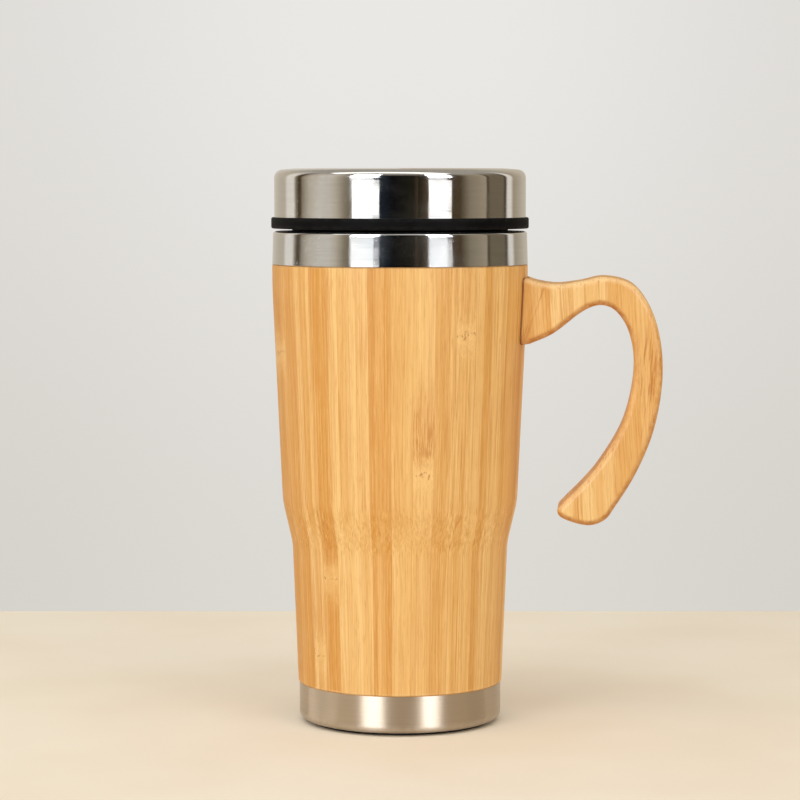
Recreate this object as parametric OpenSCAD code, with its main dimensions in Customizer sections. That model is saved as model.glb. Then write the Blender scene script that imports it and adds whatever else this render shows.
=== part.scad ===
// Travel mug: a double-walled steel vessel in a turned bamboo sleeve, with a hooked bamboo
// handle and a push-in lid whose slider uncovers a sip hole.
// Millimetres, +Z up, handle along +X, origin at the centre of the foot pad's lower face.

/* [Cup body] */
// Outer radius of the brushed base cap
base_r = 33.6; // [31:0.1:38]
// Height of the base cap
base_h = 12.3; // [10:0.1:18]
// Radius of the rounded lower corner of the base cap
base_corner_r = 2.3; // [1:0.1:3]
// How far the sleeve stands proud of the base cap
sleeve_overhang = 0.35; // [0.1:0.05:1]
// Height of the narrow lower part of the sleeve
lower_h = 46.5; // [30:0.5:60]
// How much wider the lower part is at its top than at its foot
lower_flare = 1.85; // [0.5:0.05:3]
// Height of the slope between the lower and the upper part
slope_h = 13.8; // [10:0.1:20]
// How much the slope widens the sleeve
slope_flare = 3.2; // [2:0.1:5]
// Height of the tapered upper part
upper_h = 71.3; // [60:0.1:90]
// How much the upper part widens
upper_flare = 3.3; // [1:0.1:5]
// Height of the upright land at the top of the sleeve
land_h = 7.5; // [6:0.1:12]
// Height of the polished rim band
band_h = 10.8; // [8:0.1:16]
// How much the rim band narrows towards the lip
band_taper = 0.3; // [0:0.05:0.6]
// Radius of the rounded lip
lip_r = 1; // [0.8:0.1:1.4]

/* [Walls and gaps] */
// Thickness of the bamboo sleeve
sleeve_wall = 3; // [2.6:0.1:4]
// Thickness of the outer steel shell
shell_wall = 0.6; // [0.4:0.05:0.7]
// Thickness of the steel liner
liner_wall = 0.6; // [0.4:0.05:0.8]
// Air gap between shell and liner where they come closest
air_gap = 1.2; // [0.8:0.1:2.5]
// Wall of the base cap
base_wall = 0.7; // [0.5:0.05:1]
// Clearance between pieces that are fixed to each other
fit = 0.1; // [0.05:0.01:0.15]
// Clearance between curved pieces that move past each other
running = 0.3; // [0.2:0.01:0.4]
// Clearance between flat pieces that slide on each other
sliding = 0.1; // [0.05:0.01:0.2]

/* [Foot] */
// How far the foot pad stands out below the base cap
foot_drop = 0.8; // [0.5:0.1:1.5]
// Depth of the recess in the base cap that holds the pad
pad_seat = 0.8; // [0.4:0.1:1.2]
// How far the foot pad stands in from the side of the base cap
pad_edge = 3.1; // [2.8:0.1:6]
// Depth of the ring grooves in the pad
tread_depth = 0.5; // [0.2:0.1:0.8]
// Width of each ring groove
tread_w = 1.6; // [1:0.1:2.5]

/* [Handle] */
// Reach of the handle from the sleeve
handle_reach = 44.5; // [38:0.5:55]
// Height of the handle from its top edge to its tip
handle_h = 81.8; // [70:0.2:88]
// Distance of the handle's top edge below the rim
handle_below_rim = 14.6; // [14:0.2:20]
// Thickness of the handle across the grip
handle_t = 22; // [16:0.5:28]
// Radius of the round-over along the handle's edges
handle_edge_r = 2.2; // [1:0.1:3]

/* [Handle screws] */
// Radius of the screw shank
screw_r = 1.6; // [1.2:0.1:2]
// Radius of the countersunk head
screw_head_r = 3.2; // [2.6:0.1:3.4]
// Length of the screw behind its head
screw_len = 14; // [10:0.5:16]
// Depth of the head below the sleeve's inner face
screw_sink = 0.3; // [0.2:0.05:0.5]

/* [Lid] */
// Gap between the lid's ring and the rim
lid_gap = 0.9; // [0.4:0.1:3]
// Height of the black ring
ring_h = 3.7; // [3:0.1:5]
// How far the ring stands out past the sleeve
ring_overhang = 0.3; // [0:0.05:1]
// Height of the polished cap
cap_h = 16; // [14:0.5:20]
// How far the cap stands in from the ring
cap_step = 1; // [0.6:0.1:2]
// Wall of the cap
cap_wall = 0.8; // [0.6:0.05:1]
// Radius of the cap's upper corner
cap_corner_r = 2.8; // [2:0.1:3.2]
// Rise of the cap's top towards its opening
cap_crown = 0.5; // [0.2:0.1:1]
// Width of the cap's flat top ring
cap_ledge = 7.1; // [6:0.1:7.5]
// Length of the plug below the ring
neck_len = 16.3; // [15:0.1:22]
// Space between the plug and the liner
neck_space = 1.1; // [0.8:0.1:1.5]
// Wall of the plug
neck_wall = 3.9; // [3.5:0.1:4.5]
// Depth of the gasket groove
groove_depth = 1.7; // [1.4:0.1:2]
// Height of the gasket groove
groove_h = 8; // [6:0.1:9]
// Height of the groove above the plug's lower edge
groove_lift = 3; // [2.5:0.1:4]
// Depth of the deck below the cap's top
deck_drop = 3.6; // [3.2:0.1:4.5]
// Thickness of the deck
deck_t = 2; // [1.6:0.1:2.4]

/* [Sip slider] */
// Distance of the sip hole from the mouth of the cap
sip_edge = 5.5; // [5:0.1:6]
// Length of the sip hole across the lid
sip_len = 12; // [10:0.1:13]
// Width of the sip hole towards the edge
sip_w = 7; // [6:0.1:7.4]
// Width of the slider
slider_w = 18; // [17:0.1:20]
// Thickness of the slider plate
slider_t = 2.4; // [2:0.1:2.8]
// How far the slider reaches past the hole
slider_cover = 2.2; // [2:0.1:2.5]
// How far the open slider stands back from the hole
open_spare = 2.6; // [1:0.1:3]
// Distance of the open slider's tail from the mouth of the cap
tail_edge = 5.4; // [4.5:0.1:6]
// Length of the thumb tab
tab_len = 12; // [9:0.5:13]
// Width of the thumb tab
tab_w = 14; // [10:0.5:15]
// Number of ridges on the thumb tab
ridge_count = 4; // [2:1:5]

/* [Hidden] */
$fn = 128;

// Overrun of every cut
cut = 1;

// Heights of the cup, from the table up
cap_floor_z = foot_drop + pad_seat;
base_top_z = foot_drop + base_h;
waist_z = base_top_z + lower_h;
hip_z = waist_z + slope_h;
land_z = hip_z + upper_h;
sleeve_top_z = land_z + land_h;
rim_z = sleeve_top_z + band_h;

// Radii of the sleeve, from its foot up
foot_r = base_r + sleeve_overhang;
waist_r = foot_r + lower_flare;
hip_r = waist_r + slope_flare;
sleeve_r = hip_r + upper_flare;

// Blend radii at the bends of the sleeve, and the steps along each blend
waist_blend_r = 27;
hip_blend_r = 33;
land_blend_r = 200;
blend_steps = 6;
corner_steps = 5;

// Small edges of the sleeve
sleeve_edge = 0.4;
spigot_h = 6;

// Vessel
shell_inset = sleeve_wall + fit;
liner_inset = shell_inset + shell_wall + air_gap + liner_wall;
liner_neck_r = sleeve_r - liner_inset;
liner_floor_r = foot_r - liner_inset;
liner_waist_r = waist_r - liner_inset;
neck_spare = 9;
liner_neck_h = neck_len + neck_spare;
liner_floor_t = 0.7;
liner_corner_r = 6;
liner_blend_r = 20;
liner_sink = 1.9;
liner_floor_z = base_top_z - liner_sink;
bottom_lift = 2;
bottom_t = 0.6;
bottom_dish = 1.2;
bottom_dish_share = 0.6;
shell_foot_z = cap_floor_z + base_wall;

// Foot pad grooves, as shares of the pad's radius
tread_shares = [0.5, 0.7, 0.88];
pad_r = base_r - pad_edge;
pad_gap = fit;

// Outline of the handle: [share of the reach from the sleeve, share of the height above the
// tip], along the top, round the grip, round the tip and back up the inside
handle_shares = [
    [0.00, 0.994], [0.07, 0.981], [0.22, 0.970], [0.40, 0.982], [0.56, 0.999], [0.77, 0.970],
    [0.925, 0.855], [1.00, 0.650], [0.945, 0.402], [0.812, 0.216], [0.65, 0.071], [0.587, 0.025],
    [0.475, 0.000], [0.31, 0.018], [0.24, 0.040], [0.231, 0.062], [0.262, 0.084],
    [0.40, 0.160], [0.527, 0.242], [0.713, 0.420], [0.79, 0.637], [0.752, 0.775], [0.69, 0.840],
    [0.62, 0.875], [0.54, 0.8855], [0.46, 0.8745], [0.38, 0.849], [0.19, 0.770], [0.00, 0.724]
];
handle_steps = 4;
edge_steps = 3;
root_steps = 6;
cope_steps = 6;
handle_top_z = rim_z - handle_below_rim;
handle_tip_z = handle_top_z - handle_h;
glue_gap = fit;

// Heights of the handle screws, as shares of the handle's height
screw_shares = [0.85, 0.94];
screw_head_h = 1.6;
screw_point = 3;
screw_room = fit / 2;
slot_w = 0.8;
slot_depth = 0.8;

// Lid, from the rim up
lid_z = rim_z + lid_gap;
ring_top_z = lid_z + ring_h;
lid_top_z = ring_top_z + cap_h;
plug_z = lid_z - neck_len;
ring_r = sleeve_r + ring_overhang;
ring_edge_r = 0.6;
cap_r = ring_r - cap_step;
cap_mouth_r = cap_r - cap_ledge;
cap_in_r = cap_r - cap_wall;
cap_lip_r = 0.7;
neck_r = liner_neck_r - neck_space;
neck_in_r = neck_r - neck_wall;
neck_edge = 0.6;
groove_r = neck_r - groove_depth;
groove_z = plug_z + groove_lift;
deck_z = lid_top_z - deck_drop;
deck_side = 3;
deck_in_r = cap_in_r - deck_side;
wall_top_z = lid_top_z - cap_crown - cap_wall - fit;
plate_t = 1.8;
plate_seat = 1.7;
plate_r = neck_in_r + plate_seat;

// Gasket: a band with lips that reach the liner
gasket_in_r = groove_r + running;
gasket_lip_r = liner_neck_r - running;
gasket_band_r = neck_r - running;
gasket_z = groove_z + sliding;
gasket_h = groove_h - 2 * sliding;
lip_count = 3;
// Place of a lip's foot, tip and flat along its pitch
lip_shares = [0.1, 0.45, 0.65, 0.9];

// Slider
sip_place = cap_mouth_r - sip_edge - sip_w / 2;
slider_travel = sip_w + 2 * slider_cover + open_spare;
slider_front = sip_place + sip_w / 2 + slider_cover;
slider_tail = cap_mouth_r - tail_edge - slider_travel;
stem_len = 8;
stem_w = 5;
tail_cover = 0.9;
stem_place = stem_len / 2 + slider_travel + running + tail_cover - slider_tail;
track_depth = 2.2;
track_floor_z = deck_z - track_depth;
pan_t = 2;
pan_wall = 2;
pan_z = track_floor_z - pan_t;
slider_z = track_floor_z + running;
slider_corner_r = 2;
tab_sink = 0.7;
tab_z = lid_top_z - tab_sink;
tab_base_share = 0.65;
ridge_h = 0.5;
ridge_w = 0.9;
tube_wall = 1.6;
vent_r = 1.3;
vent_side = 5.7;
vent_back = 12.5;
vent_x = slider_w / 2 + running + pan_wall + vent_side;
vent_y = cap_mouth_r - vent_back;
seal_t = 1;
seal_edge = 1.5;
clip_w = 11;
clip_t = 1.2;
clip_z = pan_z - running - clip_t;
small_screw_r = 1.1;
small_head_r = 2.2;
small_head_h = 1.4;
small_screw_len = 6;

function unit(v) = v / norm(v);

// One corner b of a path from a to c, turned into an arc of radius r
function arc_corner(a, b, c, r, steps) =
    let (
        u = unit(a - b),
        v = unit(c - b),
        half = acos(max(-1, min(1, u * v))) / 2,
        centre = b + unit(u + v) * r / sin(half),
        p = b + u * r / tan(half) - centre,
        q = b + v * r / tan(half) - centre,
        from = atan2(p[1], p[0]),
        turn = (atan2(q[1], q[0]) - from + 360 + 180) % 360 - 180
    )
    [for (i = [0 : steps]) centre + r * [cos(from + turn * i / steps), sin(from + turn * i / steps)]];

// An open path with its corners rounded by the radii beside them
function round_path(points, radii, steps = corner_steps) = [
    for (i = [0 : len(points) - 1])
        each (radii[i] == 0
            ? [points[i]]
            : arc_corner(points[i - 1], points[i], points[i + 1], radii[i], steps))
];

function reversed(list) = [for (i = [len(list) - 1 : -1 : 0]) list[i]];

// Side of the cup, inset from the sleeve's outer face, from height low to height high
function column(inset, low, high) = round_path(
    [[foot_r - inset, low], [foot_r - inset, base_top_z], [waist_r - inset, waist_z],
        [hip_r - inset, hip_z], [sleeve_r - inset, land_z], [sleeve_r - inset, high]],
    [0, 0, waist_blend_r, hip_blend_r, land_blend_r, 0],
    blend_steps
);

// Radius of the sleeve's outer face at a height
function sleeve_radius(z) = lookup(z, [[base_top_z, foot_r], [waist_z, waist_r], [hip_z, hip_r],
    [land_z, sleeve_r], [sleeve_top_z, sleeve_r]]);

module turned(points) {
    rotate_extrude() polygon(points);
}

// Flat oval block with half-round ends, its length along X
module oval(length, width, height) {
    straight = length - width;
    linear_extrude(height) {
        square([straight, width], center = true);
        for (side = [-1, 1])
            translate([side * straight / 2, 0]) circle(r = width / 2);
    }
}

// Flat block with round corners, centred on X, from y_low to y_high
module rounded_block(width, y_low, y_high, corner, height) {
    linear_extrude(height) {
        translate([-width / 2, y_low + corner]) square([width, y_high - y_low - 2 * corner]);
        translate([corner - width / 2, y_low]) square([width - 2 * corner, y_high - y_low]);
        for (side = [-1, 1])
            for (y = [y_low + corner, y_high - corner])
                translate([side * (width / 2 - corner), y]) circle(r = corner);
    }
}

// Drawn inner vessel with a turned-out lip
module liner() {
    lip_out_r = sleeve_r - band_taper - lip_r - fit;
    inside = round_path(
        [[0, liner_floor_z], [liner_floor_r, liner_floor_z], [liner_waist_r, waist_z],
            [liner_neck_r, rim_z - liner_neck_h], [liner_neck_r, rim_z], [lip_out_r, rim_z]],
        [0, liner_corner_r, liner_blend_r, liner_blend_r, lip_r, 0]
    );
    outside = round_path(
        [[0, liner_floor_z - liner_floor_t], [liner_floor_r + liner_wall, liner_floor_z - liner_floor_t],
            [liner_waist_r + liner_wall, waist_z],
            [liner_neck_r + liner_wall, rim_z - liner_neck_h],
            [liner_neck_r + liner_wall, rim_z - liner_wall], [lip_out_r, rim_z - liner_wall]],
        [0, liner_corner_r + liner_wall, liner_blend_r, liner_blend_r, lip_r - liner_wall, 0]
    );
    color("lightsteelblue") turned(concat(outside, reversed(inside)));
}

// Outer steel shell: a tube inside the sleeve that steps out into the polished rim band
module outer_shell() {
    tube_in = shell_inset + shell_wall;
    step_top = sleeve_top_z + shell_wall;
    band_top_r = sleeve_r - band_taper;
    outside = concat(
        column(shell_inset, shell_foot_z, sleeve_top_z),
        round_path(
            [[sleeve_r, sleeve_top_z], [band_top_r, rim_z], [band_top_r - lip_r, rim_z]],
            [0, lip_r - fit, 0]
        )
    );
    inside = concat(
        column(tube_in, shell_foot_z, step_top),
        [[sleeve_r - shell_wall, step_top], [band_top_r - shell_wall, rim_z - shell_wall],
            [band_top_r - lip_r, rim_z - shell_wall]]
    );
    color("silver") turned(concat(outside, reversed(inside)));
}

// Dished disc welded into the foot of the outer shell
module shell_bottom() {
    rim = foot_r - shell_inset - shell_wall - fit;
    low = shell_foot_z + bottom_lift;
    dish_r = rim * bottom_dish_share;
    under = [[0, low + bottom_dish], [dish_r, low + bottom_dish], [dish_r + bottom_dish, low], [rim, low]];
    color("lightslategray") turned(concat(under, reversed([for (p = under) p + [0, bottom_t]])));
}

// Turned bamboo sleeve, open at both ends, with a spigot that enters the base cap
module bamboo_sleeve() {
    spigot_r = base_r - base_wall - fit;
    low = base_top_z - spigot_h;
    side = column(0, base_top_z, sleeve_top_z);
    outside = concat(
        [[spigot_r, low], [spigot_r, base_top_z], [foot_r - sleeve_edge, base_top_z],
            [foot_r, base_top_z + sleeve_edge]],
        [for (i = [2 : len(side) - 2]) side[i]],
        [[sleeve_r, sleeve_top_z - sleeve_edge], [sleeve_r - sleeve_edge, sleeve_top_z]]
    );
    color("burlywood") difference() {
        turned(concat(outside, reversed(column(sleeve_wall, low, sleeve_top_z))));
        for (share = screw_shares) screw_cut(handle_tip_z + handle_h * share);
    }
}

// Brushed steel cap round the foot, with a recess below for the pad
module base_cap() {
    recess_r = pad_r + pad_gap;
    outside = round_path(
        [[0, cap_floor_z], [recess_r, cap_floor_z], [recess_r, foot_drop], [base_r, foot_drop],
            [base_r, base_top_z]],
        [0, 0, 0, base_corner_r, 0]
    );
    inside = round_path(
        [[0, shell_foot_z], [base_r - base_wall, shell_foot_z], [base_r - base_wall, base_top_z]],
        [0, base_corner_r - base_wall, 0]
    );
    color("gainsboro") turned(concat(outside, reversed(inside)));
}

// Black anti-slip pad with ring grooves
module foot_pad() {
    color("#262626") difference() {
        cylinder(r = pad_r, h = cap_floor_z);
        for (share = tread_shares)
            translate([0, 0, -cut])
                difference() {
                    cylinder(r = pad_r * share, h = cut + tread_depth);
                    cylinder(r = pad_r * share - tread_w, h = cut + tread_depth);
                }
    }
}

// Point between b and c on a smooth curve that also heeds a and d, by chord length
function curve_point(a, b, c, d, share) =
    let (
        t1 = sqrt(norm(b - a)),
        t2 = t1 + sqrt(norm(c - b)),
        t3 = t2 + sqrt(norm(d - c)),
        t = t1 + (t2 - t1) * share,
        p = a * (t1 - t) / t1 + b * t / t1,
        q = b * (t2 - t) / (t2 - t1) + c * (t - t1) / (t2 - t1),
        r = c * (t3 - t) / (t3 - t2) + d * (t - t2) / (t3 - t2),
        m = p * (t2 - t) / t2 + q * t / t2,
        n = q * (t3 - t) / (t3 - t1) + r * (t - t1) / (t3 - t1)
    )
    m * (t2 - t) / (t2 - t1) + n * (t - t1) / (t2 - t1);

handle_points = [for (s = handle_shares)
    [sleeve_r + handle_reach * s[0], handle_tip_z + handle_h * s[1]]];

// The handle's outline from the sleeve round to the sleeve again, and its inward normals
handle_outline = let (n = len(handle_points), p = handle_points) [
    for (i = [0 : n - 2])
        for (k = [0 : handle_steps - 1])
            curve_point(
                i == 0 ? 2 * p[0] - p[1] : p[i - 1], p[i], p[i + 1],
                i == n - 2 ? 2 * p[n - 1] - p[n - 2] : p[i + 2], k / handle_steps),
    p[n - 1]
];
handle_normals = let (n = len(handle_outline), p = handle_outline) [
    for (i = [0 : n - 1])
        let (along = unit(p[min(i + 1, n - 1)] - p[max(i - 1, 0)])) [along[1], -along[0]]
];

// Point on the root of the handle, where it is coped to the sleeve
function root_point(y, z) = [sqrt(pow(sleeve_radius(z) + glue_gap, 2) - y * y), y, z];

// The handle's outline at y, drawn in by inset, with its root on the sleeve
function handle_ring(y, inset) =
    let (
        n = len(handle_outline),
        edge = [for (i = [0 : n - 1]) handle_outline[i] + handle_normals[i] * inset],
        top = edge[0][1],
        low = edge[n - 1][1]
    )
    [root_point(y, top), for (i = [1 : n - 2]) [edge[i][0], y, edge[i][1]],
        for (i = [0 : root_steps - 1]) root_point(y, low + (top - low) * i / root_steps)];

// Hooked bamboo handle: its outline across the thickness, drawn in along the rounded edges,
// coped to the sleeve and drilled for its screws
module handle() {
    arcs = [for (k = [0 : edge_steps]) k * 90 / edge_steps];
    near = [for (a = arcs) [handle_edge_r * (1 - cos(a)) - handle_t / 2, handle_edge_r * (1 - sin(a))]];
    flat = handle_t / 2 - handle_edge_r;
    middle = [for (k = [1 : cope_steps - 1]) [flat * (2 * k / cope_steps - 1), 0]];
    far = [for (ring = reversed(near)) [-ring[0], ring[1]]];
    rings = [for (ring = concat(near, middle, far)) handle_ring(ring[0], ring[1])];
    count = len(rings[0]);
    sides = [for (k = [0 : len(rings) - 2])
        for (i = [0 : count - 1])
            let (j = (i + 1) % count, low = k * count, high = (k + 1) * count)
            each [[low + i, low + j, high + j], [low + i, high + j, high + i]]];
    last = len(handle_outline) - 1;
    face = concat(
        [for (i = [last - 1 : count - 1]) [1, i, (i + 1) % count]],
        [for (i = [1 : last / 2 - 1]) [i, i + 1, last - i]],
        [for (i = [1 : last / 2 - 2]) [i + 1, last - i - 1, last - i]]
    );
    ends = [for (f = face) each [reversed(f), [for (i = f) i + (len(rings) - 1) * count]]];
    color("burlywood") difference() {
        polyhedron([for (ring = rings) each ring], concat(sides, ends));
        for (share = screw_shares) screw_cut(handle_tip_z + handle_h * share);
    }
}

// Countersunk hole for one screw
module screw_cut(z) {
    start = sleeve_radius(z) - sleeve_wall + screw_sink;
    translate([start, 0, z]) rotate([0, 90, 0]) {
        cylinder(r = screw_r + screw_room, h = screw_len + screw_room);
        rotate_extrude() polygon([[0, -cut], [screw_head_r + screw_room, -cut],
            [screw_head_r + screw_room, 0], [screw_r + screw_room, screw_head_h], [0, screw_head_h]]);
    }
}

// Two countersunk wood screws with cross slots
module handle_screws() {
    color("dimgray")
        for (share = screw_shares) {
            z = handle_tip_z + handle_h * share;
            start = sleeve_radius(z) - sleeve_wall + screw_sink;
            difference() {
                translate([start, 0, z]) rotate([0, 90, 0]) rotate_extrude() polygon([
                    [0, 0], [screw_head_r, 0], [screw_r, screw_head_h],
                    [screw_r, screw_len - screw_point], [0, screw_len]]);
                for (turn = [0, 90])
                    translate([start - cut, 0, z]) rotate([turn, 0, 0])
                        translate([0, -slot_w / 2, -screw_r])
                            cube([cut + slot_depth, slot_w, 2 * screw_r]);
            }
        }
}

// Silicone ring with lips that press on the liner
module lid_gasket() {
    pitch = gasket_h / lip_count;
    lips = [for (i = [0 : lip_count - 1])
        let (z = gasket_z + i * pitch)
        each [[gasket_band_r, z + pitch * lip_shares[0]], [gasket_lip_r, z + pitch * lip_shares[1]],
            [gasket_lip_r, z + pitch * lip_shares[2]], [gasket_band_r, z + pitch * lip_shares[3]]]];
    color("#d8d8d4") turned(concat(
        [[gasket_in_r, gasket_z], [gasket_band_r, gasket_z]], lips,
        [[gasket_band_r, gasket_z + gasket_h], [gasket_in_r, gasket_z + gasket_h]]));
}

// Black lid: plug with a gasket groove, ring over the rim, and a deck with the slider's track
module lid_body() {
    outside = round_path(
        [[plate_r, plug_z], [neck_r, plug_z], [neck_r, groove_z], [groove_r, groove_z],
            [groove_r, groove_z + groove_h], [neck_r, groove_z + groove_h], [neck_r, lid_z],
            [ring_r, lid_z], [ring_r, ring_top_z], [cap_in_r - fit, ring_top_z],
            [cap_in_r - fit, wall_top_z], [cap_mouth_r + cap_wall + fit, wall_top_z],
            [cap_mouth_r + cap_wall + fit, deck_z], [0, deck_z]],
        [0, neck_edge, 0, 0, 0, 0, 0, ring_edge_r, ring_edge_r, 0, cap_corner_r - cap_wall, 0, 0, 0]
    );
    inside = [[plate_r, plug_z + plate_t], [neck_in_r, plug_z + plate_t], [neck_in_r, ring_top_z],
        [deck_in_r, ring_top_z], [deck_in_r, deck_z - deck_t], [0, deck_z - deck_t]];
    tube_z = plug_z + plate_t;
    color("#1c1c1c") difference() {
        union() {
            turned(concat(outside, reversed(inside)));
            translate([0, 0, pan_z])
                rounded_block(slider_w + 2 * running + 2 * pan_wall, -slider_front - running - pan_wall,
                    slider_tail + slider_travel + running + pan_wall, slider_corner_r + pan_wall,
                    deck_z - deck_t - pan_z);
            translate([0, -sip_place, tube_z])
                oval(sip_len + 2 * tube_wall, sip_w + 2 * tube_wall, pan_z - tube_z);
            translate([vent_x, vent_y, tube_z])
                cylinder(r = vent_r + tube_wall, h = deck_z - deck_t - tube_z);
        }
        translate([0, 0, track_floor_z])
            rounded_block(slider_w + 2 * running, -slider_front - running,
                slider_tail + slider_travel + running, slider_corner_r, track_depth + cut);
        translate([0, -sip_place, tube_z - cut]) oval(sip_len, sip_w, track_floor_z - tube_z + 2 * cut);
        translate([vent_x, vent_y, tube_z - cut]) cylinder(r = vent_r, h = deck_z - tube_z + 2 * cut);
        translate([-stem_w / 2 - running, -stem_place - stem_len / 2 - running, pan_z - cut])
            cube([stem_w + 2 * running, stem_len + slider_travel + 2 * running, pan_t + 2 * cut]);
    }
}

// Plate that closes the plug from below
module lid_underside() {
    color("#2a2a2a") difference() {
        translate([0, 0, plug_z]) cylinder(r = plate_r - fit, h = plate_t);
        translate([0, -sip_place, plug_z - cut]) oval(sip_len, sip_w, plate_t + 2 * cut);
        translate([vent_x, vent_y, plug_z - cut]) cylinder(r = vent_r, h = plate_t + 2 * cut);
    }
}

// Polished steel cap with an open, turned-down mouth
module lid_cap() {
    shoulder_z = lid_top_z - cap_crown;
    lip_z = deck_z + fit;
    outside = round_path(
        [[cap_r, ring_top_z], [cap_r, shoulder_z], [cap_mouth_r + cap_wall, lid_top_z],
            [cap_mouth_r, lid_top_z], [cap_mouth_r, lip_z]],
        [0, cap_corner_r, 0, cap_lip_r, 0]
    );
    inside = round_path(
        [[cap_in_r, ring_top_z], [cap_in_r, shoulder_z - cap_wall],
            [cap_mouth_r + cap_wall, shoulder_z - cap_wall], [cap_mouth_r + cap_wall, lip_z]],
        [0, cap_corner_r - cap_wall, 0, 0]
    );
    color("silver") turned(concat(outside, reversed(inside)));
}

// Slider plate with its stem and its ribbed thumb tab
module slider_knob() {
    plate_top = slider_z + slider_t;
    tab_low = -stem_place - tab_len / 2;
    pitch = tab_len * tab_base_share / ridge_count;
    color("#303030") difference() {
        union() {
            translate([0, 0, slider_z])
                rounded_block(slider_w, -slider_front, slider_tail, slider_corner_r, slider_t);
            translate([-stem_w / 2, -stem_place - stem_len / 2, clip_z + clip_t])
                cube([stem_w, stem_len, slider_z - clip_z - clip_t]);
            translate([0, 0, plate_top])
                rounded_block(tab_w, tab_low, tab_low + tab_len, slider_corner_r,
                    tab_z - ridge_h - plate_top);
            for (i = [0 : ridge_count - 1])
                translate([slider_corner_r - tab_w / 2,
                    -stem_place + (i + 0.5 - ridge_count / 2) * pitch - ridge_w / 2, plate_top])
                    cube([tab_w - 2 * slider_corner_r, ridge_w, tab_z - plate_top]);
        }
        translate([0, -sip_place, slider_z - cut])
            oval(sip_len + 2 * seal_edge + 2 * fit, sip_w + 2 * seal_edge + 2 * fit,
                cut + seal_t - sliding);
        translate([0, -stem_place, clip_z])
            cylinder(r = small_screw_r + screw_room, h = small_screw_len + screw_room);
    }
}

// Silicone pad that closes the sip hole
module slider_seal() {
    color("#b8b8b4") translate([0, -sip_place, track_floor_z + sliding])
        oval(sip_len + 2 * seal_edge, sip_w + 2 * seal_edge,
            slider_z - track_floor_z + seal_t - 2 * sliding);
}

// Plate under the deck that keeps the slider in its track
module slider_clip() {
    color("#454545") difference() {
        translate([0, -stem_place, clip_z])
            rounded_block(clip_w, -stem_len / 2, stem_len / 2, slider_corner_r, clip_t);
        translate([0, -stem_place, clip_z - cut]) cylinder(r = small_screw_r + fit, h = clip_t + 2 * cut);
    }
}

// Pan-head screw from the clip up into the slider's stem
module slider_screw() {
    color("slategray") difference() {
        translate([0, -stem_place, 0]) union() {
            translate([0, 0, clip_z - small_head_h]) cylinder(r = small_head_r, h = small_head_h);
            translate([0, 0, clip_z - small_head_h])
                cylinder(r = small_screw_r, h = small_head_h + small_screw_len);
        }
        for (turn = [0, 90])
            translate([0, -stem_place, clip_z - small_head_h - cut]) rotate([0, 0, turn])
                translate([-small_screw_r, -slot_w / 2, 0])
                    cube([2 * small_screw_r, slot_w, cut + slot_depth]);
    }
}

liner();
outer_shell();
shell_bottom();
bamboo_sleeve();
base_cap();
foot_pad();
handle();
handle_screws();
lid_gasket();
lid_body();
lid_underside();
lid_cap();
slider_knob();
slider_seal();
slider_clip();
slider_screw();
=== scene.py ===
import math
from functools import partial

import bmesh
import bpy
from mathutils import Matrix, Vector
from mathutils.geometry import intersect_line_line_2d


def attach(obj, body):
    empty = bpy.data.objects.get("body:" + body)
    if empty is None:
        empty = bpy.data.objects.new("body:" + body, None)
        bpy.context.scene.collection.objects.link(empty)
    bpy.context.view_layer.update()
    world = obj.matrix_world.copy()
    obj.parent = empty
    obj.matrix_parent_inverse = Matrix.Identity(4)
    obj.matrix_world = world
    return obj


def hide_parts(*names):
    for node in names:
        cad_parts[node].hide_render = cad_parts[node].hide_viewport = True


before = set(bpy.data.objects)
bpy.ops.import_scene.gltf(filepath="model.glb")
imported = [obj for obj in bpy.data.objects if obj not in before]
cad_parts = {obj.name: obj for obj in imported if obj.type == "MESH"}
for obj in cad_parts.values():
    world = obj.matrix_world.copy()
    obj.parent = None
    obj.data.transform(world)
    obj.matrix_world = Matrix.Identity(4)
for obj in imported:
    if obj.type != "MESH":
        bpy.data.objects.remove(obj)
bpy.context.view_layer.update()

# Everything below is in millimetres, as the part has it, and goes to metres when a mesh is made.
# Points closer than TOUCHING are merged
MM, TOUCHING = 0.001, 0.002

# Heights from the floor up
FOOT_DROP, CAP_FLOOR, SHELL_FOOT, BASE_TOP = 0.8, 1.6, 2.3, 13.1
WAIST, HIP, LAND, SLEEVE_TOP, RIM = 59.6, 73.4, 144.7, 152.2, 163.0
LINER_FLOOR, LINER_NECK = 11.2, 137.7
LID_FOOT, RING_TOP, LID_TOP, PLUG_FOOT = 163.9, 167.6, 183.6, 147.6
DECK, TRACK_FLOOR, PAN_FOOT, SLIDER_FOOT, CLIP_TOP = 180.0, 177.8, 175.8, 178.1, 175.5
TAB_TOP, WALL_TOP, GROOVE_FOOT = 182.9, 182.2, 150.6

# Radii of the cup and of the lid, the wall of the steel and the thickness of the lid's underside
BASE_R, PAD_R, FOOT_R, WAIST_R, HIP_R, SLEEVE_R = 33.6, 30.5, 33.95, 35.8, 39.0, 42.3
RING_R, CAP_R, CAP_IN_R, MOUTH_R, PLATE_R = 42.6, 41.6, 40.8, 34.5, 33.5
NECK_R, NECK_IN_R, GROOVE_R, LINER_NECK_R, LINER_LIP_R = 35.7, 31.8, 34.0, 36.8, 40.9
STEEL, PLATE = 0.6, 1.8

# Columns of faces round the large turned pieces and the smaller ones, and the sleeve's staves
COLUMNS, FEWER = 240, 192
STAVES, STAVE_SEED = 36, 14.0

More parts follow.
